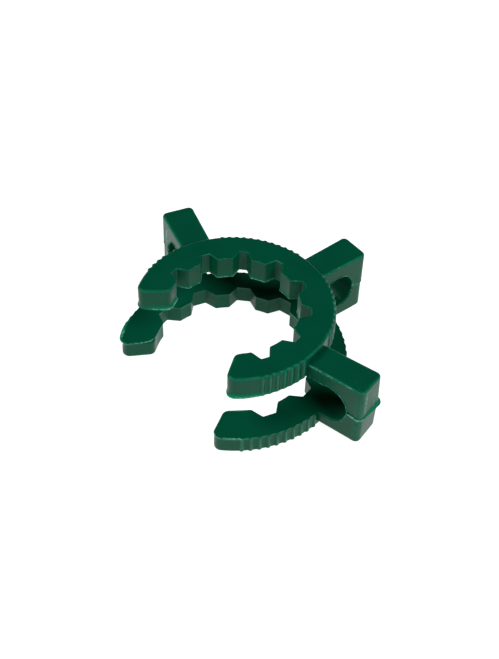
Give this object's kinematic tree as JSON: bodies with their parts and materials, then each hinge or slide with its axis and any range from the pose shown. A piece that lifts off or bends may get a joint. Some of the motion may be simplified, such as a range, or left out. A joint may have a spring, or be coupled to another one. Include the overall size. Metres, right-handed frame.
{
  "type": "ground glass joint clip",
  "caption": "One-piece sprung plastic clip with two toothed C-shaped jaws joined by windowed legs, holding a conical ground glass joint together.",
  "frame": {"origin": "on the axis of both jaws, in the plane of the lower jaw's underside", "axes": "+Z along the joint's axis from the wide jaw to the narrow jaw, mouth of both jaws towards -Y, rear leg towards +Y"},
  "size_m": [0.0582, 0.0448, 0.016],
  "materials": {
    "green_plastic": "satin moulded acetal"
  },
  "bodies": {
    "root": {"clip": "green_plastic"}
  },
  "joints": []
}
